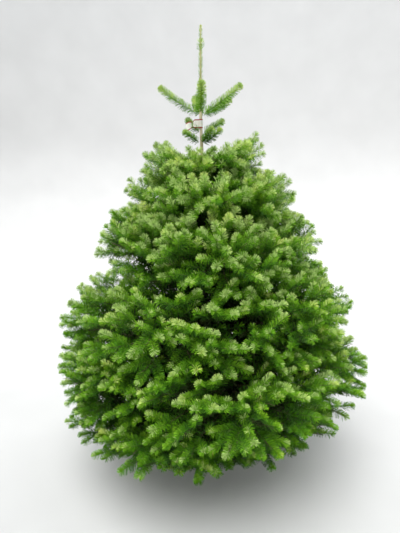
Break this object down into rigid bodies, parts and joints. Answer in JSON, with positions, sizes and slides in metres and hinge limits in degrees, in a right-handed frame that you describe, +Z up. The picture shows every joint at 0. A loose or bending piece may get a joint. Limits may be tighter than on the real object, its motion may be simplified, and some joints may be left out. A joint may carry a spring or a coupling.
{
  "type": "christmas tree",
  "caption": "Young rooted fir grown as a christmas tree: trunk with a bare leader, tiers of boughs and dense masses of needle sprays, with a paper band tied under the top whorl.",
  "frame": {"origin": "middle of the flat cut under the trunk, at ground level", "axes": "+Z up, from the ground to the leader's tip; -Y the side that faces the viewer; +X to the right as seen from there"},
  "size_m": [1.7586, 1.755, 2.45],
  "materials": {
    "bark": "rough grey-brown bark, pale golden on the leader",
    "young_bark": "smooth brown bark of young boughs",
    "needles": "glossy green needles",
    "fresh_needles": "yellow-green needles of this year's growth",
    "paper": "weathered white paper with plain red stripes"
  },
  "bodies": {
    "root": {"trunk": "bark", "paper_band": "paper", "top_shoot_1": "fresh_needles", "top_shoot_2": "fresh_needles", "top_shoot_3": "fresh_needles", "top_shoot_4": "fresh_needles", "top_shoot_5": "fresh_needles", "stem_twig_1": "fresh_needles", "stem_twig_2": "fresh_needles", "stem_twig_3": "fresh_needles", "foliage_1_1": "needles", "foliage_1_2": "needles", "foliage_1_3": "needles", "foliage_1_4": "needles", "foliage_1_5": "needles", "foliage_2_1": "needles", "foliage_2_2": "needles", "foliage_2_3": "needles", "foliage_2_4": "needles", "foliage_2_5": "needles", "bough_3_1": "young_bark", "foliage_3_1": "needles", "bough_3_2": "young_bark", "foliage_3_2": "needles", "bough_3_3": "young_bark", "foliage_3_3": "needles", "bough_3_4": "young_bark", "foliage_3_4": "needles", "bough_3_5": "young_bark", "foliage_3_5": "needles", "bough_4_1": "young_bark", "foliage_4_1": "needles", "bough_4_2": "young_bark", "foliage_4_2": "needles", "bough_4_3": "young_bark", "foliage_4_3": "needles", "bough_4_4": "young_bark", "foliage_4_4": "needles", "bough_4_5": "young_bark", "foliage_4_5": "needles", "bough_5_1": "young_bark", "foliage_5_1": "needles", "bough_5_2": "young_bark", "foliage_5_2": "needles", "bough_5_3": "young_bark", "foliage_5_3": "needles", "bough_5_4": "young_bark", "foliage_5_4": "needles", "bough_5_5": "young_bark", "foliage_5_5": "needles", "bough_6_1": "young_bark", "foliage_6_1": "needles", "bough_6_2": "young_bark", "foliage_6_2": "needles", "bough_6_3": "young_bark", "foliage_6_3": "needles", "bough_6_4": "young_bark", "foliage_6_4": "needles", "bough_6_5": "young_bark", "foliage_6_5": "needles"}
  },
  "joints": []
}
